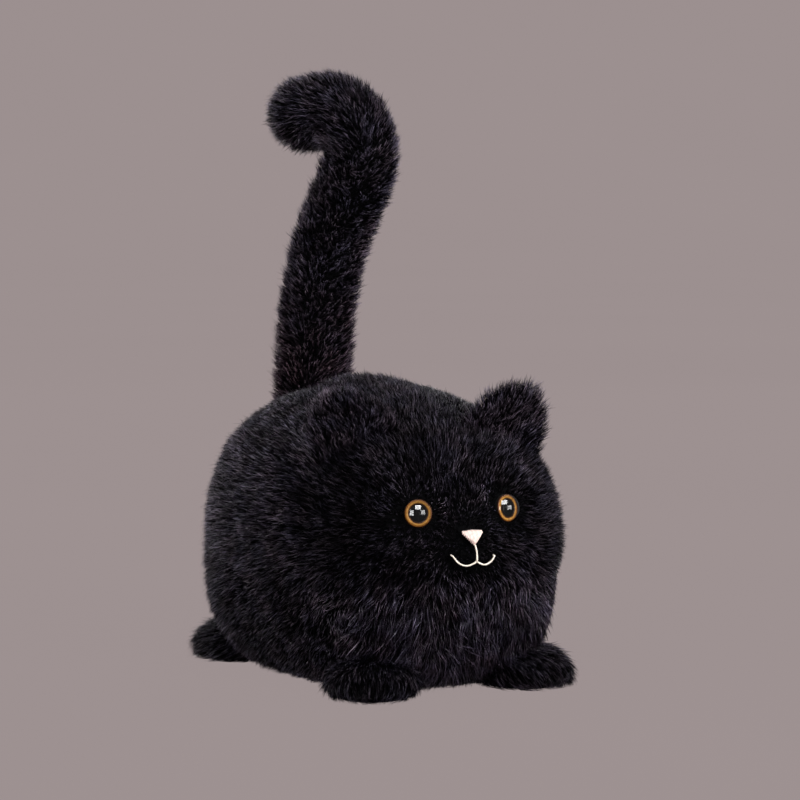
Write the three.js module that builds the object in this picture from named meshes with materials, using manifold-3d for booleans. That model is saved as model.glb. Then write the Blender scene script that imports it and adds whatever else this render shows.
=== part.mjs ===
// A plush cat: a round stuffed body that is head and trunk in one, with two ears, four stub feet, two
// safety eyes, a stitched nose and mouth, and a tall tail with a hooked tip.
// Millimetres, +Z up. The cat looks along -Y and its left side is +X. The origin is the middle of the
// flat base panel that it sits on.
import * as THREE from "three";
import { mergeVertices } from "three/addons/utils/BufferGeometryUtils.js";
import Module from "manifold-3d";

const wasm = await Module();
wasm.setup();

// Driving dimensions. Fabric outlines are those of the backing with its dense lower pile: the loose
// tips of the pile stand about 2.5 mm further out.
const GAP = 0.3; // between two pieces that touch
const SKIN = 2.4; // backing and dense pile of one layer of plush
const BODY = {
  halfWidth: 56,
  halfLength: 65.2,
  setBack: 1.4, // how far the middle of the round is behind the origin
  widest: 42.5, // height of the widest level
  top: 57, // from the widest level up to the crown
  rise: 0.09, // how much higher the rump is than the crown, per mm of length
  bottom: 44, // from the widest level down to where the round would close; the base cuts it flat
  planPower: 2.3, // 2 is an ellipse, more is squarer
  topPower: 2.35,
  bottomPower: 3.2,
};
const MUZZLE = { out: 3, width: 13, height: 11, level: 46 }; // a soft bulge round the mouth
const BASE_HEIGHT = 5; // height of the seam round the base panel
const GUSSET = 16; // half width of the strip over the back
const FACE = { halfWidth: 47, halfHeight: 36, level: 56, back: -10 };
const CHEST = { halfWidth: 38, top: 41, back: -15 };
const POUCH = { halfWidth: 30, halfLength: 34, halfHeight: 10, middle: 9, wall: 0.8, neck: 3 };

const EAR = { width: 32, height: 19, thickness: 2.3, sweep: -1.5, bend: 40 }; // bend: degrees either way
const EAR_SEAM = {
  inner: new THREE.Vector3(13, -35.6, 88.4),
  outer: new THREE.Vector3(41.4, -32.4, 76.4),
  lean: new THREE.Vector3(0.44, -0.08, 0.89), // the way that the ear points
};
const FOOT = { halfWidth: 15, halfLength: 16.5, halfHeight: 10.5, widest: 5, sole: 1.6 };
const FEET = [
  { name: "front_right", x: -28, y: -48, toe: -35 }, // toe: which way it points, in degrees from -Y
  { name: "front_left", x: 28, y: -48, toe: 35 },
  { name: "rear_right", x: -34, y: 47, toe: -62 },
  { name: "rear_left", x: 34, y: 47, toe: 62 },
];

const EYE = { radius: 4.75, out: 16.2, level: 61.4, forward: 57.4, yaw: 18, pitch: 10 };
const PUPIL_RADIUS = 3.05;
const POST = { radius: 1.5, rib: 1.85, length: 9, ribs: 3 };
const NOSE = { width: 9, height: 5.2, thickness: 1, level: 56.2 };
const THREAD = 0.38; // radius of the mouth stitches
const MOUTH = { top: 51.2, join: 45.6, out: 7.8, end: 48.2, dip: 44.6 };

const TAIL = { radius: 12, root: new THREE.Vector3(0, 53.5, 79.3) };
const TAIL_HEADING = new THREE.Vector3(-0.5, 0.866, 0); // the way that the hook points, from above
// The tail's centre line: how far along the heading, and the height.
const TAIL_LINE = [
  [2.2, 79.3], [2.6, 100], [0.4, 123], [-5, 146], [-12, 161], [-17.2, 173],
  [-17.6, 182], [-13, 190.4], [-5, 193.6], [5.5, 192.4],
];
const TIP_JOINT = 5; // the point of the line on which the hooked tip turns
const LEAN = 26; // degrees that the tail's socket leaves free on every side

const TURN = 12; // flat facets in one turn of a round piece
const rad = THREE.MathUtils.degToRad;
const UP = new THREE.Vector3(0, 0, 1);

// ---- Solids ----

// A closed geometry as a solid that can be joined and cut.
function solid(geometry) {
  const bare = geometry.clone();
  bare.deleteAttribute("normal");
  bare.deleteAttribute("uv");
  const merged = mergeVertices(bare, 1e-4);
  return new wasm.Manifold(
    new wasm.Mesh({
      numProp: 3,
      vertProperties: merged.attributes.position.array,
      triVerts: new Uint32Array(merged.index.array),
    }),
  );
}

// The solid's biggest body, without the slivers that a cut may leave.
function main(shape) {
  return shape.decompose().reduce((a, b) => (b.volume() > a.volume() ? b : a));
}

function geometryOf(shape) {
  const { numProp, vertProperties, triVerts } = shape.getMesh();
  const points = new Float32Array((vertProperties.length / numProp) * 3);
  for (let i = 0; i < points.length / 3; i++)
    points.set(vertProperties.subarray(i * numProp, i * numProp + 3), i * 3);
  const geometry = new THREE.BufferGeometry();
  geometry.setAttribute("position", new THREE.BufferAttribute(points, 3));
  geometry.setIndex(new THREE.BufferAttribute(new Uint32Array(triVerts), 1));
  geometry.computeVertexNormals();
  return geometry;
}

function box(x0, x1, y0, y1, z0, z1) {
  const geometry = new THREE.BoxGeometry(x1 - x0, y1 - y0, z1 - z0);
  return solid(geometry.translate((x0 + x1) / 2, (y0 + y1) / 2, (z0 + z1) / 2));
}

function ball(centre, radius) {
  return solid(new THREE.SphereGeometry(radius, TURN, TURN / 2).translate(centre.x, centre.y, centre.z));
}

// A round bar from one point to another, which may widen.
function bar(from, to, radius, endRadius = radius) {
  const length = from.distanceTo(to);
  const geometry = new THREE.CylinderGeometry(endRadius, radius, length, TURN);
  geometry.translate(0, length / 2, 0);
  const along = to.clone().sub(from).normalize();
  geometry.applyQuaternion(new THREE.Quaternion().setFromUnitVectors(new THREE.Vector3(0, 1, 0), along));
  return solid(geometry.translate(from.x, from.y, from.z));
}

const signedPower = (value, power) => Math.sign(value) * Math.abs(value) ** power;

// ---- Materials ----

const cloth = (color) => new THREE.MeshStandardMaterial({ color, roughness: 0.95, metalness: 0 });
const pile = cloth(0x1a181c);
const shortPile = cloth(0x151417);
const sole = cloth(0x121114);
const fibre = cloth(0xe8e4dc);
const bagCloth = cloth(0xd8d2c4);
const pinkThread = cloth(0xe6c3b8);
const creamThread = cloth(0xf0e4d2);
const pelletPlastic = new THREE.MeshStandardMaterial({ color: 0xe0e0dc, roughness: 0.5 });
const clearPlastic = new THREE.MeshStandardMaterial({ color: 0xf4f8fa, roughness: 0.05 });
const amberPaint = new THREE.MeshStandardMaterial({ color: 0xb4702c, roughness: 0.35 });
const blackPlastic = new THREE.MeshStandardMaterial({ color: 0x0a0a0b, roughness: 0.3 });
const whitePlastic = new THREE.MeshStandardMaterial({ color: 0xeceae4, roughness: 0.45 });

const cat = new THREE.Group();

function add(name, geometry, material, group = cat) {
  const mesh = new THREE.Mesh(geometry, material);
  mesh.name = name;
  group.add(mesh);
  return mesh;
}

// ---- Body ----

const muzzleBulge = (x, z) =>
  MUZZLE.out * Math.exp(-((x / MUZZLE.width) ** 2) - ((z - MUZZLE.level) / MUZZLE.height) ** 2);

// The round of the body, drawn in by a distance all over.
function bodyRound(inset) {
  const geometry = new THREE.SphereGeometry(1, 2 * TURN, TURN).rotateX(Math.PI / 2);
  const points = geometry.attributes.position;
  for (let i = 0; i < points.count; i++) {
    const [x, y, z] = [points.getX(i), points.getY(i), points.getZ(i)];
    const level = Math.min(Math.hypot(x, y), 1);
    const power = z > 0 ? BODY.topPower : BODY.bottomPower;
    const spread = level ** (2 / power) / (level || 1) ** (2 / BODY.planPower);
    const px = (BODY.halfWidth - inset) * signedPower(x, 2 / BODY.planPower) * spread;
    const py = (BODY.halfLength - inset) * signedPower(y, 2 / BODY.planPower) * spread;
    const reach = z > 0 ? BODY.top + BODY.rise * py - inset : BODY.bottom - inset;
    const pz = BODY.widest + reach * signedPower(z, 2 / power);
    points.setXYZ(i, px, py + BODY.setBack - (py < 0 ? muzzleBulge(px, pz) : 0), pz);
  }
  return solid(geometry);
}

// Where the fabric's outer face is, straight ahead of the cat, at a place seen from the front.
function frontAt(x, z) {
  const power = z > BODY.widest ? BODY.topPower : BODY.bottomPower;
  let y = -BODY.halfLength;
  for (let round = 0; round < 6; round++) {
    const reach = z > BODY.widest ? BODY.top + BODY.rise * y : BODY.bottom;
    const level = 1 - (Math.abs(z - BODY.widest) / reach) ** power;
    const plan = level ** (BODY.planPower / power) - (Math.abs(x) / BODY.halfWidth) ** BODY.planPower;
    y = -BODY.halfLength * plan ** (1 / BODY.planPower);
  }
  return y + BODY.setBack - muzzleBulge(x, z);
}

// The front of the face is what lies inside an oval seen from the front.
function faceOval(grow) {
  const outline = new THREE.Shape();
  outline.absellipse(0, FACE.level, FACE.halfWidth + grow, FACE.halfHeight + grow, 0, 2 * Math.PI);
  const geometry = new THREE.ExtrudeGeometry(outline, { depth: 90, bevelEnabled: false, curveSegments: TURN });
  return solid(geometry.rotateX(Math.PI / 2).translate(0, FACE.back + grow, 0));
}
const chestBlock = (grow) =>
  box(-CHEST.halfWidth - grow, CHEST.halfWidth + grow, -90, CHEST.back + grow, -5, CHEST.top + grow);
const gussetStrip = (grow) => box(-GUSSET - grow, GUSSET + grow, -90, 90, -5, 120);
const baseSlab = (grow) => box(-90, 90, -90, 90, -5, BASE_HEIGHT + grow);
const rearHalf = (grow) => box(-90, 90, TAIL.root.y - grow, 90, -5, 120);
const leftHalf = (grow) => box(-grow, 90, -90, 90, -5, 120);

// ---- Tail line, ear seats and eye seats, which the body makes room for ----

const tailPoint = ([along, height]) =>
  TAIL_HEADING.clone().multiplyScalar(along).add(new THREE.Vector3(TAIL.root.x, TAIL.root.y, height));
const tailCurve = new THREE.CatmullRomCurve3(TAIL_LINE.map(tailPoint));
const tailRoot = tailPoint(TAIL_LINE[0]);
const tipJoint = tailPoint(TAIL_LINE[TIP_JOINT]);

// The seam of one ear and the frame of the ear on it: along the seam, up the ear, out of its front.
function earSeat(side) {
  const mirror = new THREE.Vector3(side, 1, 1);
  const inner = EAR_SEAM.inner.clone().multiply(mirror);
  const outer = EAR_SEAM.outer.clone().multiply(mirror);
  const along = outer.clone().sub(inner).normalize();
  const lean = EAR_SEAM.lean.clone().multiply(mirror);
  const up = lean.addScaledVector(along, -lean.dot(along)).normalize();
  const front = along.clone().cross(up).multiplyScalar(side);
  const middle = inner.clone().add(outer).multiplyScalar(0.5);
  // The right ear is the left one turned round, so its outline runs the other way along the seam.
  const across = along.clone().multiplyScalar(side);
  return { place: new THREE.Matrix4().makeBasis(across, up, front).setPosition(middle) };
}

// The fold that an ear stands in: round under its root, and open above it as far as the ear bends.
function earFold(side) {
  const half = EAR.thickness + 2 * GAP;
  const depth = 9;
  const outline = new THREE.Shape();
  outline.absarc(0, 0, half, Math.PI, 2 * Math.PI);
  outline.lineTo(half + depth * Math.tan(rad(EAR.bend)), depth);
  outline.lineTo(-half - depth * Math.tan(rad(EAR.bend)), depth);
  const length = EAR.width + 4 * GAP;
  const geometry = new THREE.ExtrudeGeometry(outline, { depth: length, bevelEnabled: false, curveSegments: TURN / 2 });
  geometry.translate(0, 0, -length / 2).rotateY(Math.PI / 2);
  return solid(geometry.applyMatrix4(earSeat(side).place));
}

// The seat of one eye: where its back plate rests, and the way that it looks.
function eyeSeat(side) {
  const look = new THREE.Vector3(
    side * Math.sin(rad(EYE.yaw)) * Math.cos(rad(EYE.pitch)),
    -Math.cos(rad(EYE.yaw)) * Math.cos(rad(EYE.pitch)),
    Math.sin(rad(EYE.pitch)),
  );
  return { at: new THREE.Vector3(side * EYE.out, -EYE.forward, EYE.level), look };
}

const along = (from, way, distance) => from.clone().addScaledVector(way, distance);

// Room for the tail's ball and for its tube as it leans any way.
const SOCKET = TAIL.radius / Math.cos(rad(LEAN)) + GAP;
const SOCKET_HEIGHT = 45;
const socket = ball(tailRoot, SOCKET).add(
  bar(tailRoot, along(tailRoot, UP, SOCKET_HEIGHT), SOCKET, SOCKET + SOCKET_HEIGHT * Math.tan(rad(LEAN))),
);
let room = socket;
for (const side of [-1, 1]) {
  room = room.add(earFold(side));
  const eye = eyeSeat(side);
  room = room.add(bar(along(eye.at, eye.look, -GAP), along(eye.at, eye.look, 8), EYE.radius + 0.5));
  room = room.add(bar(along(eye.at, eye.look, -POST.length - 1), eye.at, POST.rib + GAP));
}

// ---- Fabric shell of the body ----

const outside = bodyRound(0).subtract(box(-90, 90, -90, 90, -20, 0));
const inside = bodyRound(SKIN).subtract(box(-90, 90, -90, 90, -20, SKIN));
let shell = outside.subtract(inside).subtract(room);

// Takes from the shell what lies in a region, with half a gap on each side of the seam.
function panel(name, region, material) {
  add(name, geometryOf(main(shell.intersect(region(-GAP / 2)))), material);
  shell = shell.subtract(region(GAP / 2));
}
panel("base_panel", baseSlab, sole);
panel("chest_panel", chestBlock, pile);
panel("face_panel", faceOval, shortPile);
panel("rump_panel", (grow) => gussetStrip(grow).intersect(rearHalf(grow)), pile);
panel("back_gusset", gussetStrip, pile);
panel("left_side_panel", leftHalf, pile);
panel("right_side_panel", (grow) => box(-90, grow, -90, 90, -5, 120), pile);

// ---- Filling and the pellet pouch ----

// The pouch sags to a flat on the base panel.
function pouchRound(inset) {
  const geometry = new THREE.SphereGeometry(1, TURN, TURN / 2).rotateX(Math.PI / 2);
  geometry.scale(POUCH.halfWidth - inset, POUCH.halfLength - inset, POUCH.halfHeight - inset);
  const round = solid(geometry.translate(0, 0, POUCH.middle));
  return round.subtract(box(-90, 90, -90, 90, -20, SKIN + GAP + inset));
}
const pouchTop = new THREE.Vector3(0, 0, POUCH.middle + POUCH.halfHeight);
const neck = (radius, height) => bar(along(pouchTop, UP, -3), along(pouchTop, UP, height), radius);
const pouch = pouchRound(0).add(neck(POUCH.neck, 2));
add("pellet_pouch", geometryOf(pouch.subtract(pouchRound(POUCH.wall).add(neck(POUCH.neck - POUCH.wall, 3)))), bagCloth);
add("pellets", geometryOf(pouchRound(POUCH.wall + GAP)), pelletPlastic);

let filling = bodyRound(SKIN + GAP).subtract(box(-90, 90, -90, 90, -20, SKIN + GAP)).subtract(room);
filling = filling.subtract(pouchRound(-GAP)).subtract(neck(POUCH.neck + GAP, 2 + GAP));
for (const side of [-1, 1]) {
  const { at, look } = eyeSeat(side);
  filling = filling.subtract(bar(along(at, look, -POST.length - 1), along(at, look, 5), EYE.radius + 1.2));
}
add("body_filling", geometryOf(main(filling)), fibre);

// ---- Feet: a plush upper, a flat sole and filling, sewn to the lower edge of the body ----

const bodyClear = bodyRound(-GAP);
for (const foot of FEET) {
  const dome = (inset, floor) => {
    const geometry = new THREE.SphereGeometry(1, TURN, TURN / 2).rotateX(Math.PI / 2);
    geometry.scale(FOOT.halfWidth - inset, FOOT.halfLength - inset, FOOT.halfHeight - inset);
    geometry.rotateZ(rad(foot.toe)).translate(foot.x, foot.y, FOOT.widest);
    return solid(geometry).subtract(box(-99, 99, -99, 99, -30, floor));
  };
  const lining = FOOT.sole + GAP;
  const upper = dome(0, lining).subtract(dome(SKIN, 0)).subtract(bodyClear);
  const bottom = dome(0, 0).subtract(box(-99, 99, -99, 99, FOOT.sole, 40)).subtract(bodyClear);
  const stuffing = dome(SKIN + GAP, lining).subtract(bodyClear);
  add(`foot_${foot.name}_upper`, geometryOf(main(upper)), pile);
  add(`foot_${foot.name}_sole`, geometryOf(main(bottom)), sole);
  add(`foot_${foot.name}_filling`, geometryOf(main(stuffing)), fibre);
}

// ---- Ears: two layers of plush, seam to seam, on a rounded root ----

function earOutline() {
  const half = EAR.width / 2;
  const outline = new THREE.Shape();
  outline.moveTo(-half, 0);
  outline.bezierCurveTo(-half + 2, EAR.height * 0.45, -half * 0.6, EAR.height, EAR.sweep, EAR.height);
  outline.bezierCurveTo(half * 0.45, EAR.height, half - 1, EAR.height * 0.6, half, 0);
  outline.lineTo(-half, 0);
  return outline;
}
const earOptions = { depth: EAR.thickness, bevelEnabled: false, curveSegments: 8 };
const earBlade = solid(new THREE.ExtrudeGeometry(earOutline(), earOptions));
const rootEnd = new THREE.Vector3(EAR.width / 2, 0, 0);
const earRoot = bar(rootEnd.clone().negate(), rootEnd, EAR.thickness);
const earLayer = earBlade.add(earRoot).subtract(box(-40, 40, -40, 40, -10, GAP / 2));
for (const [side, name] of [[-1, "right"], [1, "left"]]) {
  const ear = new THREE.Group();
  ear.applyMatrix4(earSeat(side).place);
  cat.add(ear);
  const layer = geometryOf(earLayer);
  if (side < 0) layer.scale(-1, 1, 1).index.array.reverse();
  const back = layer.clone().scale(1, 1, -1);
  back.index.array.reverse();
  add(`ear_${name}_front`, layer, shortPile, ear);
  add(`ear_${name}_back`, back, pile, ear);
}

// ---- Eyes: a clear dome over a painted ring and pupil, on a ribbed post with a lock washer ----

const turned = (points) => new THREE.LatheGeometry(points.map(([r, h]) => new THREE.Vector2(r, h)), TURN);
const ring = (inner, outer, low, high) =>
  turned([[inner, low], [outer, low], [outer, high], [inner, high], [inner, low]]);

function domeShape() {
  const [floor, edge, crown] = [1.7, 2, 4.9];
  const radius = (EYE.radius ** 2 + (crown - edge) ** 2) / (2 * (crown - edge));
  const points = [[0, floor], [EYE.radius, floor]];
  const steps = 5;
  const sweep = Math.asin(EYE.radius / radius);
  for (let i = 0; i < steps; i++) {
    const angle = sweep * (1 - i / steps);
    points.push([radius * Math.sin(angle), crown - radius + radius * Math.cos(angle)]);
  }
  points.push([0, crown]);
  return turned(points);
}

function postShape() {
  const points = [[0, -POST.length], [POST.radius - 0.4, -POST.length]];
  const pitch = (POST.length - 4) / POST.ribs;
  for (let i = 0; i < POST.ribs; i++) {
    const start = -POST.length + 0.6 + i * pitch;
    points.push([POST.radius, start], [POST.rib, start + pitch * 0.4], [POST.radius, start + pitch * 0.6]);
  }
  points.push([POST.radius, 0], [EYE.radius, 0], [EYE.radius, 0.7], [0, 0.7]);
  return turned(points);
}

for (const [side, name] of [[-1, "right"], [1, "left"]]) {
  const { at, look } = eyeSeat(side);
  const eye = new THREE.Group();
  eye.position.copy(at);
  eye.quaternion.setFromUnitVectors(new THREE.Vector3(0, 1, 0), look);
  cat.add(eye);
  add(`eye_${name}_dome`, domeShape(), clearPlastic, eye);
  add(`eye_${name}_iris`, ring(PUPIL_RADIUS + GAP, EYE.radius - 0.15, 1, 1.4), amberPaint, eye);
  add(`eye_${name}_pupil`, turned([[0, 1], [PUPIL_RADIUS, 1], [PUPIL_RADIUS, 1.4], [0, 1.4]]), blackPlastic, eye);
  add(`eye_${name}_post`, postShape(), blackPlastic, eye);
  add(`eye_${name}_washer`, ring(POST.rib + GAP, 5, -4.6, -3.6), whitePlastic, eye);
}

// ---- Nose and mouth ----

// The nose is a pad of satin stitches, a triangle with its point down.
function noseShape() {
  const { width, height } = NOSE;
  const outline = new THREE.Shape();
  outline.moveTo(-width / 2, 0);
  outline.quadraticCurveTo(-width * 0.3, -height * 0.75, 0.2, -height);
  outline.quadraticCurveTo(width * 0.3, -height * 0.75, width / 2, 0);
  outline.quadraticCurveTo(0, height * 0.16, -width / 2, 0);
  const geometry = new THREE.ExtrudeGeometry(outline, { depth: NOSE.thickness, bevelEnabled: false, curveSegments: 6 });
  return geometry.rotateX(Math.PI / 2);
}
const noseTilt = Math.atan2(frontAt(0, NOSE.level) - frontAt(0, NOSE.level - NOSE.height), NOSE.height);
const nose = add("nose", noseShape(), pinkThread);
nose.position.set(0, frontAt(0, NOSE.level) - 0.75, NOSE.level);
nose.rotation.x = -noseTilt;

// One stitched line of the mouth, which follows the face.
function stitch(name, places) {
  const lift = THREAD + 2 * GAP;
  const line = new THREE.CatmullRomCurve3(places.map(([x, z]) => new THREE.Vector3(x, frontAt(x, z) - lift, z)));
  const section = new THREE.Shape().absarc(0, 0, THREAD, 0, 2 * Math.PI);
  const options = { extrudePath: line, steps: 4 * places.length, bevelEnabled: false, curveSegments: 3 };
  add(name, new THREE.ExtrudeGeometry(section, options), creamThread);
}
stitch("mouth_centre", [[0.1, MOUTH.top], [0.4, MOUTH.top - 2.4], [0.3, MOUTH.join + THREAD]]);
for (const [side, name] of [[-1, "right"], [1, "left"]]) {
  const start = 0.3 + side * (2 * THREAD + GAP);
  stitch(`mouth_${name}`, [
    [start, MOUTH.join - 0.4],
    [side * MOUTH.out * 0.42, MOUTH.dip],
    [side * MOUTH.out * 0.78, MOUTH.dip + 1],
    [side * MOUTH.out, MOUTH.end],
  ]);
}

// ---- Tail ----

function tube(radius) {
  const section = new THREE.Shape().absarc(0, 0, radius, 0, 2 * Math.PI);
  const geometry = new THREE.ExtrudeGeometry(section, {
    extrudePath: tailCurve,
    steps: 14,
    bevelEnabled: false,
    curveSegments: TURN / 2,
  });
  const end = tailPoint(TAIL_LINE[TAIL_LINE.length - 1]);
  return solid(geometry).add(ball(end, radius));
}
const tailAbove = box(-90, 90, -90, 130, tipJoint.z, 260);
const lower = (radius) => tube(radius).subtract(tailAbove).add(ball(tailRoot, radius));
const upper = (radius) => tube(radius).intersect(tailAbove).add(ball(tipJoint, radius));

// The lower length ends in a cup round the ball of the tip, cut back so that the tip can turn.
// Its facets lie inside its radius, so the radius is grown until they too are clear of the ball.
const CUP = (TAIL.radius + GAP) / Math.cos(Math.PI / TURN) ** 2;
const cup = ball(tipJoint, CUP).add(bar(along(tipJoint, UP, -7), along(tipJoint, UP, 5), CUP + 4, CUP + 4));

// The half of a tail piece on one side of the upright plane that the tail lies in.
function halfOf(shape, side) {
  const across = TAIL_HEADING.clone().cross(UP).multiplyScalar(side);
  const block = new THREE.BoxGeometry(100, 300, 300).translate(50 + GAP / 2, 0, 0);
  block.rotateZ(Math.atan2(across.y, across.x)).translate(tailRoot.x, tailRoot.y, 150);
  return main(shape.intersect(solid(block)));
}

const WAD = 6; // radius of the wad in the sewn root
const lowerSkin = lower(TAIL.radius).subtract(lower(TAIL.radius - SKIN)).subtract(cup);
const upperSkin = upper(TAIL.radius).subtract(upper(TAIL.radius - SKIN));
for (const [side, name] of [[-1, "right"], [1, "left"]]) {
  add(`tail_${name}_half`, geometryOf(halfOf(lowerSkin, side)), pile);
  add(`tail_tip_${name}_half`, geometryOf(halfOf(upperSkin, side)), pile);
}
const core = TAIL.radius - SKIN - GAP;
const rootOpening = ball(tailRoot, WAD + GAP).add(bar(along(tailRoot, UP, -20), tailRoot, WAD * 0.6));
add("tail_filling", geometryOf(main(lower(core).subtract(cup).subtract(rootOpening))), fibre);
add("tail_tip_filling", geometryOf(upper(core)), fibre);
add("tail_root_wad", geometryOf(ball(tailRoot, WAD)), fibre);

export default cat;
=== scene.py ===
import math

import bpy
import numpy as np
from mathutils import Matrix, Vector, kdtree


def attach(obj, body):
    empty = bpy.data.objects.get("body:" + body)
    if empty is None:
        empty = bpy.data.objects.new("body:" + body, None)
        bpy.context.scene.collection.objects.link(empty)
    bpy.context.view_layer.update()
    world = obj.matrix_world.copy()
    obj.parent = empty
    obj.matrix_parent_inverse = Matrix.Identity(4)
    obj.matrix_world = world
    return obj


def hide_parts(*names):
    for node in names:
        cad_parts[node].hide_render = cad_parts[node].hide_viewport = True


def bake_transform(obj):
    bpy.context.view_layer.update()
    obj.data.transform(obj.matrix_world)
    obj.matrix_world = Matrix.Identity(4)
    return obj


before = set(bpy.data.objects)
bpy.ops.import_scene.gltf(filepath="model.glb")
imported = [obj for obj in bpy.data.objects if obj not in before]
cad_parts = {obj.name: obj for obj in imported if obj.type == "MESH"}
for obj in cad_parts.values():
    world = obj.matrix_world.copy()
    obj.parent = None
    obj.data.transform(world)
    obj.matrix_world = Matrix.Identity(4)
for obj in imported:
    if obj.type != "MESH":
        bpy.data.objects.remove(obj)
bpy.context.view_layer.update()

bl_info = {
    "name": "Plush Cat",
    "version": (1, 0, 0),
    "blender": (4, 5, 0),
    "location": "View3D > Sidebar > Plush Cat",
    "description": "Sews a round long-pile plush cat over its packed frame and sets its studio",
    "category": "Add Mesh",
}

# Sizes are in millimetres inside the functions, as on the sewing pattern, and meshes are made in metres.
MM = 0.001
SIDES = (("right", -1), ("left", 1))

# ---- The pattern of the body, the same round as the frame's ----

HALF_WIDTH, HALF_LENGTH, SET_BACK = 56.0, 65.2, 1.4
WIDEST, TOP, RISE, BOTTOM = 42.5, 57.0, 0.09, 44.0
PLAN_POWER, TOP_POWER, BOTTOM_POWER = 2.3, 2.35, 3.2
MUZZLE_OUT, MUZZLE_WIDTH, MUZZLE_HEIGHT, MUZZLE_LEVEL = 3.0, 13.0, 11.0, 46.0
FACE_WIDTH, FACE_HEIGHT, FACE_LEVEL, FACE_BACK = 47.0, 36.0, 56.0, -10.0
CHEST_WIDTH, CHEST_TOP, CHEST_BACK = 38.0, 41.0, -15.0
GUSSET, RUMP_START = 16.0, 53.5
FACE_MIDDLE = np.array([0.0, -62.0, 54.0])
FACE_FRONT = -30.0  # only what is ahead of this is trimmed round the eyes, nose and mouth
SIDE_LENGTHS = (("shoulder", -90, -7), ("flank", -7, 24), ("haunch", 24, 90))
CROWN_SINK, CROWN_TRIM, FOREQUARTER_TRIM = 0.9, 1.7, 1.8
FLOOR_GAP = 0.25

EYE_OUT, EYE_FORWARD, EYE_LEVEL, EYE_YAW, EYE_PITCH, EYE_RADIUS = 16.2, 57.4, 61.4, 18.0, 10.0, 4.75
NOSE_WIDTH, NOSE_HEIGHT, NOSE_LEVEL = 9.0, 5.2, 56.2
MOUTH_TOP, MOUTH_JOIN, MOUTH_OUT, MOUTH_END, MOUTH_DIP = 51.2, 45.6, 7.8, 48.2, 44.6

EAR_INNER, EAR_OUTER, EAR_LEAN = (13.0, -35.6, 88.4), (41.4, -32.4, 76.4), (0.44, -0.08, 0.89)
EAR_WIDTH, EAR_HEIGHT, EAR_SWEEP = 31.5, 19.5, 3.0

FEET = (
    ("front_right", -28.0, -48.0, -35.0),
    ("front_left", 28.0, -48.0, 35.0),
    ("rear_right", -34.0, 47.0, -62.0),
    ("rear_left", 34.0, 47.0, 62.0),
)
FOOT_SIZE, FOOT_LEVEL = (15.0, 16.5, 10.5), 5.0

TAIL_RADIUS, TAIL_ROOT = 12.0, (0.0, 53.5)
TAIL_HEADING = np.array([-0.5, 0.866, 0.0])
TAIL_LINE = (
    (2.2, 79.3), (2.6, 100.0), (0.4, 123.0), (-5.0, 146.0), (-12.0, 161.0),
    (-17.2, 173.0), (-17.6, 182.0), (-13.0, 190.4), (-5.0, 193.6), (5.5, 192.4),
)


def signed_power(value, power):
    return np.sign(value) * np.abs(value) ** power


def muzzle(x, z):
    return MUZZLE_OUT * np.exp(-((x / MUZZLE_WIDTH) ** 2) - ((z - MUZZLE_LEVEL) / MUZZLE_HEIGHT) ** 2)


def body_round(unit, inset):
    """Points of a unit ball moved onto the round of the body, drawn in by inset."""
    x, y, z = unit.T
    level = np.clip(np.hypot(x, y), 1e-6, 1)
    power = np.where(z > 0, TOP_POWER, BOTTOM_POWER)
    spread = level ** (2 / power) / level ** (2 / PLAN_POWER)
    px = (HALF_WIDTH - inset) * signed_power(x, 2 / PLAN_POWER) * spread
    py = (HALF_LENGTH - inset) * signed_power(y, 2 / PLAN_POWER) * spread
    reach = np.where(z > 0, TOP + RISE * py - inset, BOTTOM - inset)
    pz = WIDEST + reach * signed_power(z, 2 / power)
    return np.column_stack((px, py + SET_BACK - np.where(py < 0, muzzle(px, pz), 0), pz))


def front_at(x, z):
    """How far forward the fabric is at a place seen from the front."""
    power = TOP_POWER if z > WIDEST else BOTTOM_POWER
    y = -HALF_LENGTH
    for _ in range(6):
        reach = TOP + RISE * y if z > WIDEST else BOTTOM
        level = 1 - (abs(z - WIDEST) / reach) ** power
        plan = level ** (PLAN_POWER / power) - (abs(x) / HALF_WIDTH) ** PLAN_POWER
        y = -HALF_LENGTH * max(plan, 0) ** (1 / PLAN_POWER)
    return y + SET_BACK - float(muzzle(x, z))


def inside_body(points, grow=0.0):
    """Which points are inside the round of the body."""
    x, y, z = points[:, 0], points[:, 1] - SET_BACK, points[:, 2]
    plan = (np.abs(x) / (HALF_WIDTH + grow)) ** PLAN_POWER + (np.abs(y) / (HALF_LENGTH + grow)) ** PLAN_POWER
    reach = np.where(z > WIDEST, TOP + RISE * y, BOTTOM) + grow
    power = np.where(z > WIDEST, TOP_POWER, BOTTOM_POWER)
    return plan ** (power / PLAN_POWER) + (np.abs(z - WIDEST) / reach) ** power < 1


# ---- Small helpers ----


def unit(vectors):
    return vectors / np.maximum(np.linalg.norm(vectors, axis=-1, keepdims=True), 1e-9)


def dot(a, b):
    return np.sum(a * b, axis=-1, keepdims=True)


def smooth(low, high, value):
    t = np.clip((value - low) / (high - low), 0, 1)
    return t * t * (3 - 2 * t)


def deselect():
    if bpy.context.object and bpy.context.object.mode != "OBJECT":
        bpy.ops.object.mode_set(mode="OBJECT")
    bpy.ops.object.select_all(action="DESELECT")


def only(piece):
    deselect()
    piece.select_set(True)
    bpy.context.view_layer.objects.active = piece


def settle(piece, name):
    """Names a piece and puts its place into its mesh."""
    piece.name = piece.data.name = name
    only(piece)
    bpy.ops.object.transform_apply(location=True, rotation=True, scale=True)
    return piece


def face_outwards(piece, merge=0.0):
    """Turns every face outwards, after joining points nearer than merge, in metres."""
    only(piece)
    bpy.ops.object.mode_set(mode="EDIT")
    bpy.ops.mesh.select_all(action="SELECT")
    if merge:
        bpy.ops.mesh.remove_doubles(threshold=merge)
    bpy.ops.mesh.normals_make_consistent(inside=False)
    bpy.ops.object.mode_set(mode="OBJECT")


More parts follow.
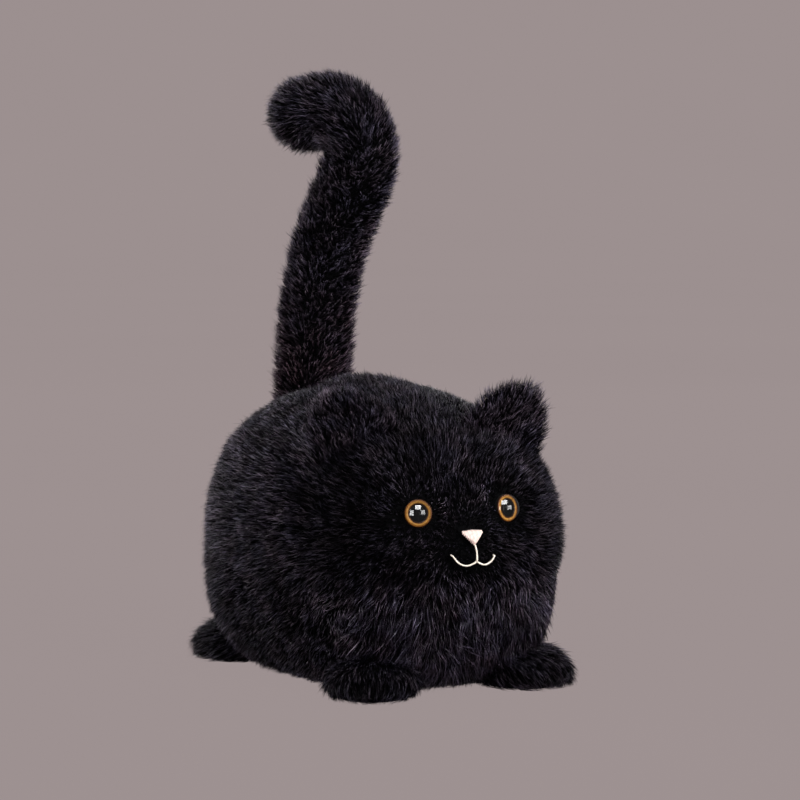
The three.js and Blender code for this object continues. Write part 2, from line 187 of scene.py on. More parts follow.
def ring_faces(rows, sides):
    """Four-sided faces between the rings of a tube."""
    faces = []
    for row in range(rows - 1):
        for i in range(sides):
            a, b = row * sides + i, row * sides + (i + 1) % sides
            faces.append((a, b, b + sides, a + sides))
    return faces


def nearest(points, places):
    """Which of the places is nearest to each point."""
    tree = kdtree.KDTree(len(places))
    for i, place in enumerate(places):
        tree.insert(place, i)
    tree.balance()
    return np.array([tree.find(point)[1] for point in points])


def points_of(mesh):
    points = np.empty(len(mesh.vertices) * 3, np.float32)
    mesh.vertices.foreach_get("co", points)
    return points.reshape(-1, 3).astype(float) / MM


def move_points(mesh, points):
    mesh.vertices.foreach_set("co", (points * MM).astype(np.float32).ravel())
    mesh.update()


def mesh_of(name, points, faces):
    """A mesh object from points in mm and faces that all have the same number of corners."""
    mesh = bpy.data.meshes.new(name)
    mesh.from_pydata((np.asarray(points) * MM).tolist(), [], [list(map(int, f)) for f in faces])
    mesh.update()
    piece = bpy.data.objects.new(name, mesh)
    bpy.context.scene.collection.objects.link(piece)
    return piece


def ball(name, size, place, turn, segments, rings):
    deselect()
    bpy.ops.mesh.primitive_uv_sphere_add(
        segments=segments, ring_count=rings, radius=MM,
        location=[v * MM for v in place], rotation=(0, 0, math.radians(turn)), scale=size,
    )
    return settle(bpy.context.object, name)


def spun(name, profile, place, look, segments):
    """A turned piece: a profile of (radius, height) in mm spun about its axis, then set on its seat."""
    mesh = bpy.data.meshes.new(name)
    mesh.from_pydata([(r * MM, 0, h * MM) for r, h in profile], [(i, i + 1) for i in range(len(profile) - 1)], [])
    piece = bpy.data.objects.new(name, mesh)
    bpy.context.scene.collection.objects.link(piece)
    only(piece)
    bpy.ops.object.mode_set(mode="EDIT")
    bpy.ops.mesh.select_all(action="SELECT")
    bpy.ops.mesh.spin(steps=segments, angle=2 * math.pi, center=(0, 0, 0), axis=(0, 0, 1))
    bpy.ops.object.mode_set(mode="OBJECT")
    face_outwards(piece, 1e-6)
    turn = Vector((0, 0, 1)).rotation_difference(Vector(look)).to_matrix().to_4x4()
    mesh.transform(Matrix.Translation(Vector(place) * MM) @ turn)
    in_fixed_order(piece)
    mesh.shade_smooth()
    bpy.ops.object.select_all(action="DESELECT")
    return piece


def in_fixed_order(piece):
    """Sorts a mesh's points and faces by place: spin, bisect and merge leave them in another order each run."""
    points = np.round(points_of(piece.data), 4)
    order = np.lexsort(points.T)
    rank = np.argsort(order)
    faces = []
    for face in piece.data.polygons:
        corners = [int(rank[corner]) for corner in face.vertices]
        first = corners.index(min(corners))
        faces.append(corners[first:] + corners[:first])
    piece.data.clear_geometry()
    piece.data.from_pydata((points[order] * MM).tolist(), [], sorted(faces))
    piece.data.update()


# ---- Materials ----


def material(name, **sockets):
    made = bpy.data.materials.new(name)
    made.use_nodes = True
    shader = made.node_tree.nodes["Principled BSDF"]
    for key, value in sockets.items():
        socket = shader.inputs[key.replace("_", " ")]
        socket.default_value = (*value, 1.0) if isinstance(value, tuple) else value
    return made, made.node_tree, shader


def node(tree, kind, settings=None, **inputs):
    made = tree.nodes.new(kind)
    for key, value in (settings or {}).items():
        setattr(made, key, value)
    for key, value in inputs.items():
        socket = made.inputs[key.replace("_", " ")] if not key.startswith("in") else made.inputs[int(key[2:])]
        if isinstance(value, bpy.types.NodeSocket):
            tree.links.new(value, socket)
        else:
            colour = isinstance(value, tuple) and len(socket.default_value) == 4
            socket.default_value = (*value, 1.0) if colour else value
    return made


def sum_node(tree, operation, a, b, c=0.0):
    return node(tree, "ShaderNodeMath", {"operation": operation}, in0=a, in1=b, in2=c).outputs[0]


def add_bump(tree, shader, height, strength, depth):
    made = node(tree, "ShaderNodeBump", Height=height, Strength=strength, Distance=depth)
    tree.links.new(made.outputs["Normal"], shader.inputs["Normal"])


def ramp(tree, factor, stops):
    made = node(tree, "ShaderNodeValToRGB", Fac=factor)
    while len(made.color_ramp.elements) < len(stops):
        made.color_ramp.elements.new(0.5)
    for element, (place, colour) in zip(made.color_ramp.elements, stops):
        element.position = place
        element.color = (*colour, 1.0)
    return made.outputs["Color"]


def object_noise(tree, scale, detail=2.0):
    place = node(tree, "ShaderNodeTexCoord").outputs["Object"]
    return node(tree, "ShaderNodeTexNoise", Vector=place, Scale=scale, Detail=detail).outputs["Fac"]


def mix(tree, factor, a, b, blend="MIX"):
    return node(
        tree, "ShaderNodeMix", {"data_type": "RGBA", "blend_type": blend}, in0=factor, in6=a, in7=b
    ).outputs[2]


def pile_material(name, root, tip, warm, cool, low=None):
    """Fibres near black at the backing, painted shade deep in the pile, and lighter at the tip, painted light on the
    tips; each strand a little different, with warm and cool drifts.

    low is (tint, start, end): a tint at the height start, in metres, that fades out by the height end.
    """
    made, tree, shader = material(name, Roughness=0.36)
    along = node(tree, "ShaderNodeAttribute", {"attribute_name": "along"}).outputs["Fac"]
    shade = node(tree, "ShaderNodeAttribute", {"attribute_name": "shade"}).outputs["Fac"]
    # Painted shade and light: each strand darkens towards its root and lightens towards its tip.
    lit = ramp(tree, along, [(0.0, root), (0.5, tuple(0.75 * a + 0.25 * b for a, b in zip(root, tip))), (1.0, tip)])
    drift = ramp(tree, object_noise(tree, 120.0), [(0.35, warm), (0.65, cool)])
    tinted = mix(tree, 0.55, lit, drift, "MULTIPLY")
    if low:
        tint, start, end = low
        where = node(tree, "ShaderNodeTexCoord").outputs["Object"]
        height = node(tree, "ShaderNodeSeparateXYZ", Vector=where).outputs["Z"]
        share = node(tree, "ShaderNodeMapRange", Value=height, From_Min=start, From_Max=end).outputs["Result"]
        tinted = mix(tree, 1.0, tinted, ramp(tree, share, [(0.0, tint), (1.0, (1.0, 1.0, 1.0))]), "MULTIPLY")
    # Each strand's tone differs at random; the fourth power keeps most strands dark and makes a few far lighter,
    # painted glints.
    steep = sum_node(tree, "POWER", shade, 4.0)
    each = sum_node(tree, "MULTIPLY_ADD", steep, 4.7, 0.03)
    scaled = node(tree, "ShaderNodeVectorMath", {"operation": "SCALE"}, in0=tinted)
    tree.links.new(each, scaled.inputs["Scale"])
    tree.links.new(scaled.outputs[0], shader.inputs["Base Color"])
    tree.links.new(sum_node(tree, "MULTIPLY_ADD", steep, 0.4, 0.01), shader.inputs["Specular IOR Level"])
    return made


def cloth_material(name, dark, light, scale, depth, gloss=0.3):
    """Knitted backing: fine ribs crossed by noise."""
    made, tree, shader = material(name, Roughness=0.95, Specular_IOR_Level=gloss)
    place = node(tree, "ShaderNodeTexCoord").outputs["Object"]
    across, up = (
        node(tree, "ShaderNodeTexWave", {"bands_direction": way}, Vector=place, Scale=scale, Distortion=2.0)
        for way in "XZ"
    )
    weave = sum_node(tree, "MULTIPLY", across.outputs["Fac"], up.outputs["Fac"])
    tree.links.new(ramp(tree, weave, [(0.1, dark), (0.9, light)]), shader.inputs["Base Color"])
    add_bump(tree, shader, weave, 0.5, depth)
    return made


def speckled(name, dark, light, scale, **sockets):
    """A moulded or loose material with slight mottling and a matching fine unevenness."""
    made, tree, shader = material(name, **sockets)
    cloud = object_noise(tree, scale, 4.0)
    tree.links.new(ramp(tree, cloud, [(0.3, dark), (0.7, light)]), shader.inputs["Base Color"])
    add_bump(tree, shader, cloud, 0.25, 0.0002)
    return made


def thread_material(name, dark, light):
    """Glossy embroidery thread: fine plies that run across its twist."""
    made, tree, shader = material(
        name, Roughness=0.42, Specular_IOR_Level=0.5, Sheen_Weight=0.3, Sheen_Roughness=0.3,
    )
    place = node(tree, "ShaderNodeTexCoord").outputs["Object"]
    plies = node(tree, "ShaderNodeTexWave", Vector=place, Scale=900.0, Distortion=1.5, Detail=2.0)
    both = sum_node(tree, "MULTIPLY", plies.outputs["Fac"], object_noise(tree, 700.0, 3.0))
    tree.links.new(ramp(tree, both, [(0.05, dark), (0.5, light)]), shader.inputs["Base Color"])
    add_bump(tree, shader, both, 0.4, 0.0001)
    return made


def clear_material(name):
    """Clear hard plastic: it mirrors more towards its edge and lets the rest through."""
    made, tree, shader = material(name, Base_Color=(0.167, 0.167, 0.167), Metallic=1.0, Roughness=0.06)
    edge = node(tree, "ShaderNodeFresnel", IOR=1.5).outputs[0]
    inner = node(tree, "ShaderNodeNewGeometry").outputs["Backfacing"]
    part = sum_node(tree, "MULTIPLY", edge, sum_node(tree, "SUBTRACT", 1.0, inner))
    # Six times the share of a mirror a sixth as bright looks the same and renders with far less grain.
    more = sum_node(tree, "MINIMUM", sum_node(tree, "MULTIPLY", part, 6.0), 1.0)
    through = node(tree, "ShaderNodeBsdfTransparent", Color=(0.97, 0.97, 0.97))
    both = node(tree, "ShaderNodeMixShader", in0=more, in1=through.outputs[0], in2=shader.outputs[0])
    tree.links.new(both.outputs[0], tree.nodes["Material Output"].inputs["Surface"])
    return made


def iris_material(name, place):
    """Amber paint, dark at the pupil, bright in the ring and burnt at its rim, with fine rays."""
    made, tree, shader = material(name, Roughness=0.4, Specular_IOR_Level=0.2)
    where = node(tree, "ShaderNodeTexCoord").outputs["Object"]
    centred = node(tree, "ShaderNodeMapping", Vector=where)
    centred.inputs["Location"].default_value = [-v * MM for v in place]
    length = node(tree, "ShaderNodeVectorMath", {"operation": "LENGTH"}, in0=centred.outputs[0]).outputs["Value"]
    share = node(
        tree, "ShaderNodeMapRange", Value=length, From_Min=3.2 * MM, From_Max=4.7 * MM
    ).outputs["Result"]
    colour = ramp(tree, share, [
        (0.0, (0.02, 0.006, 0.002)), (0.08, (0.192, 0.072, 0.011)), (0.2, (0.48, 0.224, 0.032)),
        (0.42, (0.672, 0.336, 0.058)), (0.55, (0.352, 0.136, 0.018)), (0.68, (0.448, 0.192, 0.026)),
        (0.8, (0.144, 0.04, 0.006)), (1.0, (0.015, 0.004, 0.002)),
    ])
    rays = object_noise(tree, 900.0, 3.0)
    streaks = ramp(tree, rays, [(0.3, (0.75, 0.7, 0.65)), (0.7, (1.0, 1.0, 1.0))])
    tree.links.new(mix(tree, 1.0, colour, streaks, "MULTIPLY"), shader.inputs["Base Color"])
    return made


# ---- Growing the pile ----


def scatter(piece, per_mm2, rng):
    """Roots spread evenly over a cover, with the cover's normal at each."""
    mesh = piece.data
    mesh.calc_loop_triangles()
    corners = np.empty(len(mesh.loop_triangles) * 3, np.int32)
    mesh.loop_triangles.foreach_get("vertices", corners)
    corners = corners.reshape(-1, 3)
    points = points_of(mesh)
    normals = np.empty(len(mesh.vertices) * 3, np.float32)
    mesh.vertex_normals.foreach_get("vector", normals)
    normals = normals.reshape(-1, 3).astype(float)
    a, b, c = (points[corners[:, i]] for i in range(3))
    area = 0.5 * np.linalg.norm(np.cross(b - a, c - a), axis=1)
    picked = corners[rng.choice(len(area), int(area.sum() * per_mm2), p=area / area.sum())]
    u, v = rng.random((2, len(picked), 1))
    u, v = np.where(u + v > 1, 1 - u, u), np.where(u + v > 1, 1 - v, v)
    blend = lambda values: (
        values[picked[:, 0]] * (1 - u - v) + values[picked[:, 1]] * u + values[picked[:, 2]] * v
    )
    return blend(points), unit(blend(normals))


def drift(points, size, seed):
    """A smooth wandering direction in space, the same each run."""
    rng = np.random.default_rng(seed)
    total = np.zeros_like(points)
    for _ in range(6):
        wave = rng.normal(size=3) / size
        total += np.sin(points @ wave * 2 * math.pi / 1.6 + rng.random() * 7)[:, None] * rng.normal(size=3)
    return total / 2.2


class Pile:
    """The strands of one cover: root, bend and tip of each, in mm."""

    def __init__(self, root, normal, nap, length, rng, lift=(68, 46), wander=0.38, radius=0.105, guard=0.06):
        count = len(root)
        column = lambda value: np.broadcast_to(np.asarray(value, float).reshape(-1, 1), (count, 1))
        swirl = drift(root, 6.0, 3) * 0.7 + drift(root, 18.0, 4) * 0.6 + rng.normal(size=(count, 3)) * 0.8
        way = unit(nap - dot(nap, normal) * normal)
        way = way + swirl * wander
        way = unit(way - dot(way, normal) * normal)
        length = column(length) * rng.uniform(0.7, 1.1, (count, 1)) * np.where(rng.random((count, 1)) < guard, 1.3, 1)
        spread = rng.normal(size=(count, 1)) * 9 + drift(root, 6.0, 5)[:, :1] * 9
        first, second = (np.radians(np.clip(column(angle) + spread, 4, 88)) for angle in lift)
        self.root = root
        self.bend = root + 0.5 * length * (normal * np.sin(first) + way * np.cos(first))
        self.tip = self.bend + 0.5 * length * (normal * np.sin(second) + way * np.cos(second))
        self.radius = radius * rng.uniform(0.75, 1.15, (count, 1))
        self.shade = rng.random(count) ** 1.2
        self.spin = rng.random((count, 1)) * 2 * math.pi

    def clump(self, rng, every, pull):
        """Draws the tips of neighbouring strands together into tufts."""
        count = len(self.root)
        leaders = rng.permutation(count)[: max(count // every, 1)]
        near = leaders[nearest(self.root, self.root[leaders])]
        share = np.asarray(pull) * rng.uniform(0.3, 1.0, (count, 1))
        self.tip = self.tip + (self.tip[near] - self.tip) * share
        self.bend = self.bend + (self.bend[near] - self.bend) * share * 0.45
        self.shade = self.shade * 0.85 + self.shade[near] * 0.15

    def rest_on_floor(self, height=0.35):
        for points in (self.bend, self.tip):
            points[:, 2] = np.maximum(points[:, 2], height)

    def mesh(self, name, keep, finish):
        """One piece from the strands that keep picks."""
        root, bend, tip = self.root[keep], self.bend[keep], self.tip[keep]
        count = len(root)
        axis = unit(tip - root)
        other = np.where(np.abs(axis[:, 2:]) > 0.9, [[1.0, 0, 0]], [[0, 0, 1.0]])
        side = unit(np.cross(axis, other))
        over = np.cross(axis, side)
        angle = self.spin[keep] + np.array([[0, 2 * math.pi / 3, 4 * math.pi / 3]])
        spoke = np.cos(angle)[..., None] * side[:, None] + np.sin(angle)[..., None] * over[:, None]
        wide = self.radius[keep][..., None]
        points = np.concatenate(
            (root[:, None] + spoke * wide, bend[:, None] + spoke * wide * 0.8, tip[:, None]), axis=1
        ).reshape(-1, 3)
        quads = [(0, 1, 4, 3), (1, 2, 5, 4), (2, 0, 3, 5)]
        triangles = [(3, 4, 6), (4, 5, 6), (5, 3, 6), (0, 2, 1)]
        loops = np.array([i for face in quads + triangles for i in face])
        starts = np.array([0, 4, 8, 12, 15, 18, 21])
        mesh = bpy.data.meshes.new(name)
        mesh.vertices.add(count * 7)
        mesh.vertices.foreach_set("co", (points * MM).astype(np.float32).ravel())
        mesh.loops.add(count * 24)
        mesh.loops.foreach_set("vertex_index", (loops + 7 * np.arange(count)[:, None]).astype(np.int32).ravel())
        mesh.polygons.add(count * 7)
        mesh.polygons.foreach_set("loop_start", (starts + 24 * np.arange(count)[:, None]).astype(np.int32).ravel())
        mesh.update(calc_edges=True)
        mesh.shade_smooth()
        along = np.tile([0, 0, 0, 0.55, 0.55, 0.55, 1], count)
        for key, values in (("along", along), ("shade", np.repeat(self.shade[keep], 7))):
            mesh.attributes.new(key, "FLOAT", "POINT").data.foreach_set("value", values.astype(np.float32))
        mesh.materials.append(finish)
        piece = bpy.data.objects.new(name, mesh)
        bpy.context.scene.collection.objects.link(piece)
        print(f"PILE {name}: {count} strands")
        return piece


# ---- Body ----


def eye_seat(side):
    yaw, pitch = math.radians(EYE_YAW), math.radians(EYE_PITCH)
    look = Vector((side * math.sin(yaw) * math.cos(pitch), -math.cos(yaw) * math.cos(pitch), math.sin(pitch)))
    return Vector((side * EYE_OUT, -EYE_FORWARD, EYE_LEVEL)), look


def mouth_lines():
    """The three stitched lines of the mouth as places seen from the front."""
    lines = {"centre": [(0.1, MOUTH_TOP), (0.4, MOUTH_TOP - 2.4), (0.3, MOUTH_JOIN)]}
    for name, side in SIDES:
        lines[name] = [
            (0.3 + side * 0.2, MOUTH_JOIN),
            (side * MOUTH_OUT * 0.42, MOUTH_DIP),
            (side * MOUTH_OUT * 0.78, MOUTH_DIP + 1),
            (side * MOUTH_OUT - 0.3, MOUTH_END - 0.5 - 0.4 * side),
        ]
    return lines


def curve_through(points, steps):
    """A smooth line through points, as a Catmull-Rom curve with its ends held."""
    points = np.asarray(points, float)
    padded = np.vstack((2 * points[0] - points[1], points, 2 * points[-1] - points[-2]))
    line = []
    for i in range(len(points) - 1):
        p0, p1, p2, p3 = padded[i : i + 4]
        for t in np.arange(steps) / steps:
            line.append(0.5 * (
                2 * p1 + (p2 - p0) * t + (2 * p0 - 5 * p1 + 4 * p2 - p3) * t**2 + (3 * p1 - p0 - 3 * p2 + p3) * t**3
            ))
    return np.array(line + [points[-1]])


def mouth_distance(points):
    places = np.vstack([curve_through(line, 4) for line in mouth_lines().values()])
    gap = np.linalg.norm(points[:, None, [0, 2]] - places[None], axis=2).min(axis=1)
    return np.where(points[:, 1] < FACE_FRONT, gap, 99)


def low_side(points):
    """One where the forequarters tuck in under the cheeks, nought elsewhere."""
    x, y, z = points.T
    return smooth(48, 34, z) * smooth(28, 42, np.abs(x)) * smooth(12, -8, y)


def from_eye(points, side):
    """The way out from an eye's axis to each point."""
    seat, look = (np.array(v) for v in eye_seat(side))
    across = points - seat
    return across - dot(across, look) * look


def make_body_cover(coat):
    deselect()
    bpy.ops.mesh.primitive_ico_sphere_add(subdivisions=6, radius=1)
    cover = settle(bpy.context.object, "body_cover")
    points = body_round(unit(points_of(cover.data)), coat.backing_depth / MM)
    x, y, z = points.T
    z -= CROWN_SINK * smooth(1, 16, np.abs(x)) * smooth(50, 22, y) * smooth(80, 92, z)
    x *= 1 - 0.022 * low_side(points)
    under = z < FLOOR_GAP
    points[under, :2] *= (1 - 0.012 * np.clip(FLOOR_GAP - z[under], 0, 8))[:, None]
    z[under] = FLOOR_GAP
    move_points(cover.data, points)
    cover.data.shade_smooth()
    knit = cloth_material("backing_knit", (0.001, 0.001, 0.0012), (0.003, 0.0027, 0.003), 900, 2e-4, 0.02)
    sole = cloth_material("sole_cloth", (0.006, 0.006, 0.007), (0.016, 0.014, 0.015), 700, 3e-4)
    for finish in (knit, sole):
        cover.data.materials.append(finish)
    for face in cover.data.polygons:
        face.material_index = int(face.center.z < 1.0 * MM)
    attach(cover, "body")
    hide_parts("base_panel")
    return cover


def body_nap(root, normal):
    """Away from the middle of the face, and downwards on the sides, chest and rump."""
    x, y, z = root.T
    away = unit(root - FACE_MIDDLE)
    fall = np.full(len(root), -0.05)
    fall += 0.75 * smooth(64, 20, z)
    fall += 0.75 * smooth(10, 50, y) * smooth(95, 60, z)
    fall += 0.7 * smooth(-20, -45, y) * smooth(46, 36, z)
    fall *= 1 - smooth(78, 95, z) * smooth(40, 0, y)
    nap = away - fall[:, None] * np.array([0, 0, 1.0])
    nose = np.array([0, front_at(0, 53.5), 53.6])
    spots = [(from_eye(root, side), 12, 6) for _, side in SIDES] + [((root - nose) * [1, 0, 1], 9, 4)]
    for across, outer, inner in spots:
        share = (smooth(outer, inner, np.linalg.norm(across, axis=1)) * (y < FACE_FRONT))[:, None]
        nap = nap * (1 - share) + unit(across) * share
    return nap


def face_oval(root):
    """Under one inside the face's oval."""
    return (root[:, 0] / FACE_WIDTH) ** 2 + ((root[:, 2] - FACE_LEVEL) / FACE_HEIGHT) ** 2


def body_length(root, coat):
    """How long the pile is: trimmed round the eyes, nose and mouth, and longest on the chest."""
    x, y, z = root.T
    ahead = y < FACE_FRONT
    length = np.full(len(root), coat.pile_length / MM)
    length += (coat.face_pile_length / MM - length) * (smooth(1.25, 0.45, face_oval(root)) * (y < FACE_BACK))
    chest = smooth(45, 33, z) * smooth(-25, -45, y) * smooth(41, 27, np.abs(x))
    length += (coat.ruff_length / MM - length) * chest
    crown = smooth(80, 90, z) * smooth(45, 25, y) * smooth(1, 16, np.abs(x))
    length -= CROWN_TRIM * crown + FOREQUARTER_TRIM * low_side(root)
    for _, side in SIDES:
        gap = np.where(ahead, np.linalg.norm(from_eye(root, side), axis=1), 99)
        length = np.where(gap < EYE_RADIUS + 0.1, 0, np.minimum(length, 1.5 + 0.42 * np.maximum(gap - 4.8, 0)))
    nose = np.where(ahead, np.hypot(x / 1.15, z - 54.2), 99)
    length = np.minimum(length, 1.3 + 0.4 * np.maximum(nose - 3.2, 0))
    length[(np.abs(x) < 3.4 * (z - 50.8) / 5.2) & (z < 56.2) & ahead] = 0
    return np.minimum(length, 1.1 + 0.55 * mouth_distance(root))


def make_body_pile(coat, cover):
    rng = np.random.default_rng(11)
    root, normal = scatter(cover, coat.density, rng)
    length = body_length(root, coat)
    tail_gap = np.hypot(root[:, 0] + 1.1, root[:, 1] - 55.4)
    keep = (root[:, 2] > 1.6) & (length > 0.5) & ((tail_gap > 10.5) | (root[:, 2] < 70))
    root, normal, length = root[keep], normal[keep], length[keep]
    x, y, z = root.T
    chest = smooth(45, 33, z) * smooth(-25, -45, y)
    back = smooth(72, 92, z) * (0.5 + 0.5 * smooth(1, 16, np.abs(x)))
    lift = (68 - 28 * chest - 26 * back, 46 - 34 * chest - 24 * back)
    pile = Pile(root, normal, body_nap(root, normal), length, rng, lift)
    pile.clump(rng, 10, coat.tuft_pull * (0.6 + 1.1 * chest)[:, None])
    # Shorter pile is made darker; the chest's hanging strands are made lighter, painted light where the lamps fall on
    # the chest.
    pile.shade *= (0.6 + 0.4 * smooth(1.2, 3.0, length)) * (1 + 0.22 * chest)
    pile.shade *= 1 + 0.10 * drift(root, 13.0, 6)[:, 0]
    # Painted shade: the pile is darkened in an oval on each cheek, behind and below the eye.
    cheek_shade_oval = ((np.abs(x) - 35) / 11) ** 2 + ((z - 60) / 26) ** 2
    pile.shade *= 1 - 0.12 * smooth(1.2, 0.3, cheek_shade_oval) * smooth(-20, -35, y)
    for _, side in SIDES:
        seat = np.array(eye_seat(side)[0]) + [-side * 6.5, 0, 3.0]
        near = (np.linalg.norm((root - seat)[:, [0, 2]], axis=1) < 3.6) & (y < FACE_FRONT)
        pile.shade[near & (rng.random(len(root)) < 0.07)] = 1.25
    pile.rest_on_floor()
    finish = pile_material(
        "long_pile_black", (0.001, 0.001, 0.0012), tuple(coat.tip_colour), (1.0, 0.72, 0.7), (0.72, 0.76, 1.0)
    )
    short = pile_material(
        "face_pile_black", (0.001, 0.001, 0.0011), tuple(0.85 * v for v in coat.tip_colour),
        (1.0, 0.78, 0.74), (0.75, 0.78, 1.0),
    )
    face = (face_oval(root) < 1) & (y < FACE_BACK)
    chest = (np.abs(x) < CHEST_WIDTH) & (z < CHEST_TOP) & (y < CHEST_BACK)
    strip = ~(face | chest) & (np.abs(x) < GUSSET)
    rump = strip & (y > RUMP_START)
    taken = face | chest | strip
    pieces = [
        ("face_pile_right", face & ~chest & (x < 0), short, "short_pile", ["face_panel"]),
        ("face_pile_left", face & ~chest & (x >= 0), short, "short_pile", ["face_panel"]),
        ("chest_pile", chest, finish, "long_pile", ["chest_panel"]),
        ("back_pile", strip & ~rump, finish, "long_pile", ["back_gusset"]),
        ("rump_pile", rump, finish, "long_pile", ["rump_panel"]),
    ]
    for name, side in SIDES:
        for part, start, end in SIDE_LENGTHS:
            stretch = ~taken & (np.sign(x) == side) & (y >= start) & (y < end)
            pieces.append((f"{name}_{part}_pile", stretch, finish, "long_pile", [f"{name}_side_panel"]))
    for name, keep, pile_finish, slot, nodes in pieces:
        piece = pile.mesh(name, keep, pile_finish)
        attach(piece, "body")
        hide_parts(*nodes)


# ---- Feet ----


def make_feet(coat):
    # Painted shade: the feet's pile is a darker copy of the body's, for the shade they stand in under the body.
    finish = pile_material(
        "foot_pile_black", (0.0008, 0.0008, 0.001), tuple(0.62 * v for v in coat.tip_colour),
        (1.0, 0.78, 0.75), (0.75, 0.78, 1.0),
    )
    for number, (name, x, y, toe) in enumerate(FEET):
        rng = np.random.default_rng(40 + number)
        inset = coat.backing_depth / MM
        size = [FOOT_SIZE[0] - inset, FOOT_SIZE[1] - inset, FOOT_SIZE[2] - 2.6]
        cover = ball(f"foot_{name}_cover", size, (x, y, FOOT_LEVEL), toe, 40, 24)
        only(cover)
        bpy.ops.object.mode_set(mode="EDIT")
        bpy.ops.mesh.select_all(action="SELECT")
        bpy.ops.mesh.bisect(plane_co=(0, 0, 0.3 * MM), plane_no=(0, 0, -1), use_fill=True, clear_outer=True)
        bpy.ops.object.mode_set(mode="OBJECT")
        in_fixed_order(cover)
        cover.data.shade_smooth()
        cover.data.materials.append(bpy.data.materials["backing_knit"])
        cover.data.materials.append(bpy.data.materials["sole_cloth"])
        for face in cover.data.polygons:
            face.material_index = int(face.center.z < 0.4 * MM)
        root, normal = scatter(cover, coat.density * 1.05, rng)
        keep = (root[:, 2] > 1.2) & ~inside_body(root, -2.0)
        root, normal = root[keep], normal[keep]
        nap = unit((root - np.array([x * 0.55, y * 0.55, 0.0])) * [1, 1, 0]) - np.array([0, 0, 0.55])
        pile = Pile(root, normal, nap, coat.foot_pile_length / MM, rng, (24, 6), wander=0.14)
        pile.clump(rng, 8, coat.tuft_pull * 0.7)
        pile.rest_on_floor()
        piece = pile.mesh(f"foot_{name}_pile", np.ones(len(root), bool), finish)
        for made in (cover, piece):
            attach(made, "body")
        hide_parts(f"foot_{name}_sole")
        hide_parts(f"foot_{name}_upper")


# ---- Ears ----


def bezier(p0, p1, p2, p3, steps):
    t = np.linspace(0, 1, steps)[:, None]
    p0, p1, p2, p3 = (np.array(p, float) for p in (p0, p1, p2, p3))
    return (1 - t) ** 3 * p0 + 3 * (1 - t) ** 2 * t * p1 + 3 * (1 - t) * t**2 * p2 + t**3 * p3


def ear_frame():
    """The left ear's seat: its middle, the way along its seam, up the ear and out of its front."""
    inner, outer, lean = (np.array(v) for v in (EAR_INNER, EAR_OUTER, EAR_LEAN))
    along = (outer - inner) / np.linalg.norm(outer - inner)
    up = lean - along * (lean @ along)
    up /= np.linalg.norm(up)
    return (inner + outer) / 2, along, up, np.cross(along, up)


